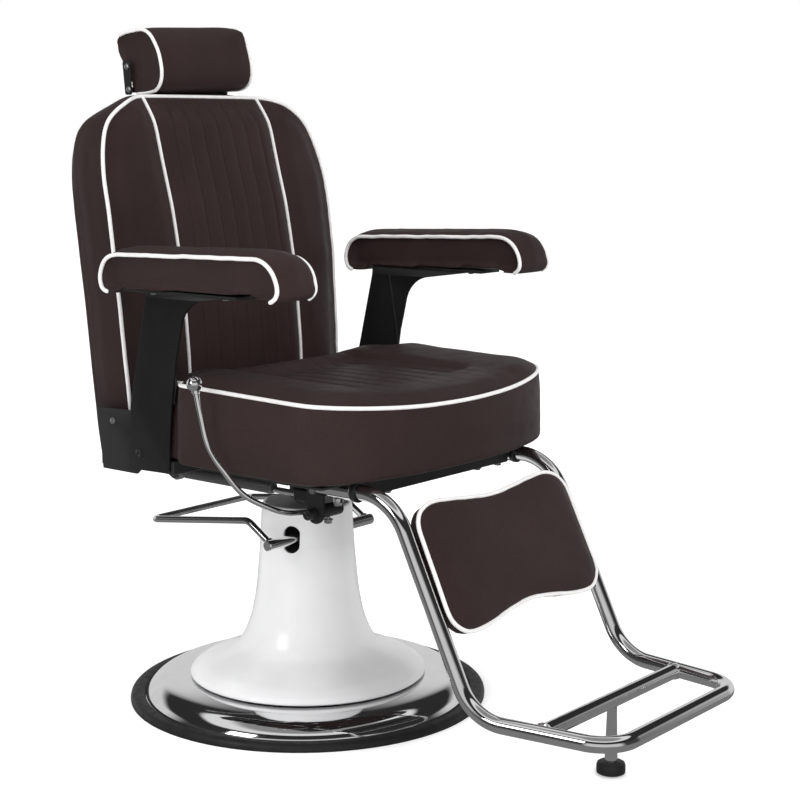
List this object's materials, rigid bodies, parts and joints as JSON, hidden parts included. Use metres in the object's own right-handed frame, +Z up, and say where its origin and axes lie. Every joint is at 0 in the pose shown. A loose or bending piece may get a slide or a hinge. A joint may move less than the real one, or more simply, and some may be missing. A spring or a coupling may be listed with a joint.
{
  "type": "barber chair",
  "caption": "Hydraulic barber chair: round chromed base, pump pedestal, swivel seat with padded arms, reclining back with headrest, and tubular legrest.",
  "frame": {"origin": "centre of the round base's flat underside, on the floor", "axes": "+Z up along the pedestal, the chair faces -Y, +X is the sitter's left"},
  "size_m": [0.698, 1.0862, 1.1515],
  "materials": {
    "chrome": "polished",
    "rubber": "matte",
    "white_paint": "gloss",
    "steel": "machined",
    "black_paint": "satin",
    "cast_iron": "painted",
    "black_plastic": "satin",
    "board": "raw plywood",
    "piping": "satin vinyl",
    "leather": "grained"
  },
  "bodies": {
    "base": {"floor_ring": "rubber", "base_plate": "cast_iron", "base_dish": "chrome", "pedestal_cover": "white_paint", "pedestal_cap": "black_plastic", "pump_housing": "cast_iron", "ram_gland": "steel", "fulcrum_bracket": "black_paint", "fulcrum_pin": "steel"},
    "pump_lever": {"rocker_plate_left": "steel", "rocker_plate_right": "steel", "pump_cross_shaft": "chrome", "pump_lever_bar": "chrome"},
    "plunger": {"pump_plunger": "steel"},
    "lift": {"lift_ram": "chrome"},
    "seat": {"swivel_socket": "black_paint", "seat_mount_plate": "black_paint", "seat_frame": "black_paint", "seat_board": "board", "seat_cushion": "leather", "arm_bracket_left": "black_paint", "arm_bracket_right": "black_paint", "armrest_pad_left": "leather", "armrest_pad_right": "leather", "recline_pin_left": "steel", "recline_pin_right": "steel", "legrest_sleeve_left": "chrome", "legrest_sleeve_right": "chrome", "sleeve_collar_left": "black_plastic", "sleeve_collar_right": "black_plastic", "sleeve_bolt_left": "chrome", "sleeve_bolt_right": "chrome", "gas_spring_rod": "chrome", "release_bracket": "black_paint"},
    "backrest": {"backrest_cushion": "leather", "backrest_board": "board", "backrest_rear_cover": "leather", "backrest_lower_bar": "black_paint", "backrest_side_plate_left": "black_paint", "backrest_side_plate_right": "black_paint", "spring_rear_pin": "steel", "headrest_guide": "black_paint"},
    "gas_spring": {"gas_spring_cylinder": "black_paint"},
    "headrest_post": {"headrest_yoke": "black_paint"},
    "headrest": {"headrest_pad": "leather", "headrest_screw_left": "chrome", "headrest_screw_right": "chrome"},
    "recline_lever": {"release_shaft": "black_plastic", "recline_lever_rod": "chrome", "recline_lever_ball": "chrome", "release_clamp_bolt": "chrome"},
    "legrest": {"legrest_tube": "chrome", "legrest_crossbar": "chrome", "stop_foot_stem": "chrome", "stop_foot_pad": "rubber", "legrest_strap_upper": "black_paint", "legrest_strap_lower": "black_paint", "legrest_board": "board", "legrest_pad": "leather"}
  },
  "joints": [
    {"name": "pump_stroke", "type": "hinge", "parent": "base", "child": "pump_lever", "pos_m": [0, 0.031, 0.2915], "axis": [1, 0, 0], "range_deg": [-12, 10], "stiffness_Nm_per_rad": 25},
    {"name": "plunger_stroke", "type": "slide", "parent": "base", "child": "plunger", "axis": [0, 0, 1], "range_m": [-0.0145, 0.0145]},
    {"name": "height", "type": "slide", "parent": "base", "child": "lift", "axis": [0, 0, 1], "range_m": [0, 0.15]},
    {"name": "swivel", "type": "hinge", "parent": "lift", "child": "seat", "pos_m": [0, 0, 0.4], "axis": [0, 0, 1], "continuous": true},
    {"name": "recline", "type": "hinge", "parent": "seat", "child": "backrest", "pos_m": [0, 0.112, 0.455], "axis": [-1, 0, 0], "range_deg": [0, 40]},
    {"name": "gas_spring_stroke", "type": "slide", "parent": "seat", "child": "gas_spring", "axis": [0, -1, 0], "range_m": [0, 0.037]},
    {"name": "headrest_height", "type": "slide", "parent": "backrest", "child": "headrest_post", "axis": [0, 0.2504, 0.9681], "range_m": [0, 0.085]},
    {"name": "headrest_tilt", "type": "hinge", "parent": "headrest_post", "child": "headrest", "pos_m": [0, 0.303, 1.086], "axis": [-1, 0, 0], "range_deg": [0, 25]},
    {"name": "recline_release", "type": "hinge", "parent": "seat", "child": "recline_lever", "pos_m": [0, -0.197, 0.383], "axis": [-1, 0, 0], "range_deg": [0, 12], "stiffness_Nm_per_rad": 4},
    {"name": "legrest_reach", "type": "slide", "parent": "seat", "child": "legrest", "axis": [0, -1, 0], "range_m": [0, 0.04]}
  ],
  "couplings": [
    {"joint": "plunger_stroke", "follows": "pump_stroke", "m_per_rad": -0.062},
    {"joint": "gas_spring_stroke", "follows": "recline", "m_per_rad": 0.0523}
  ]
}
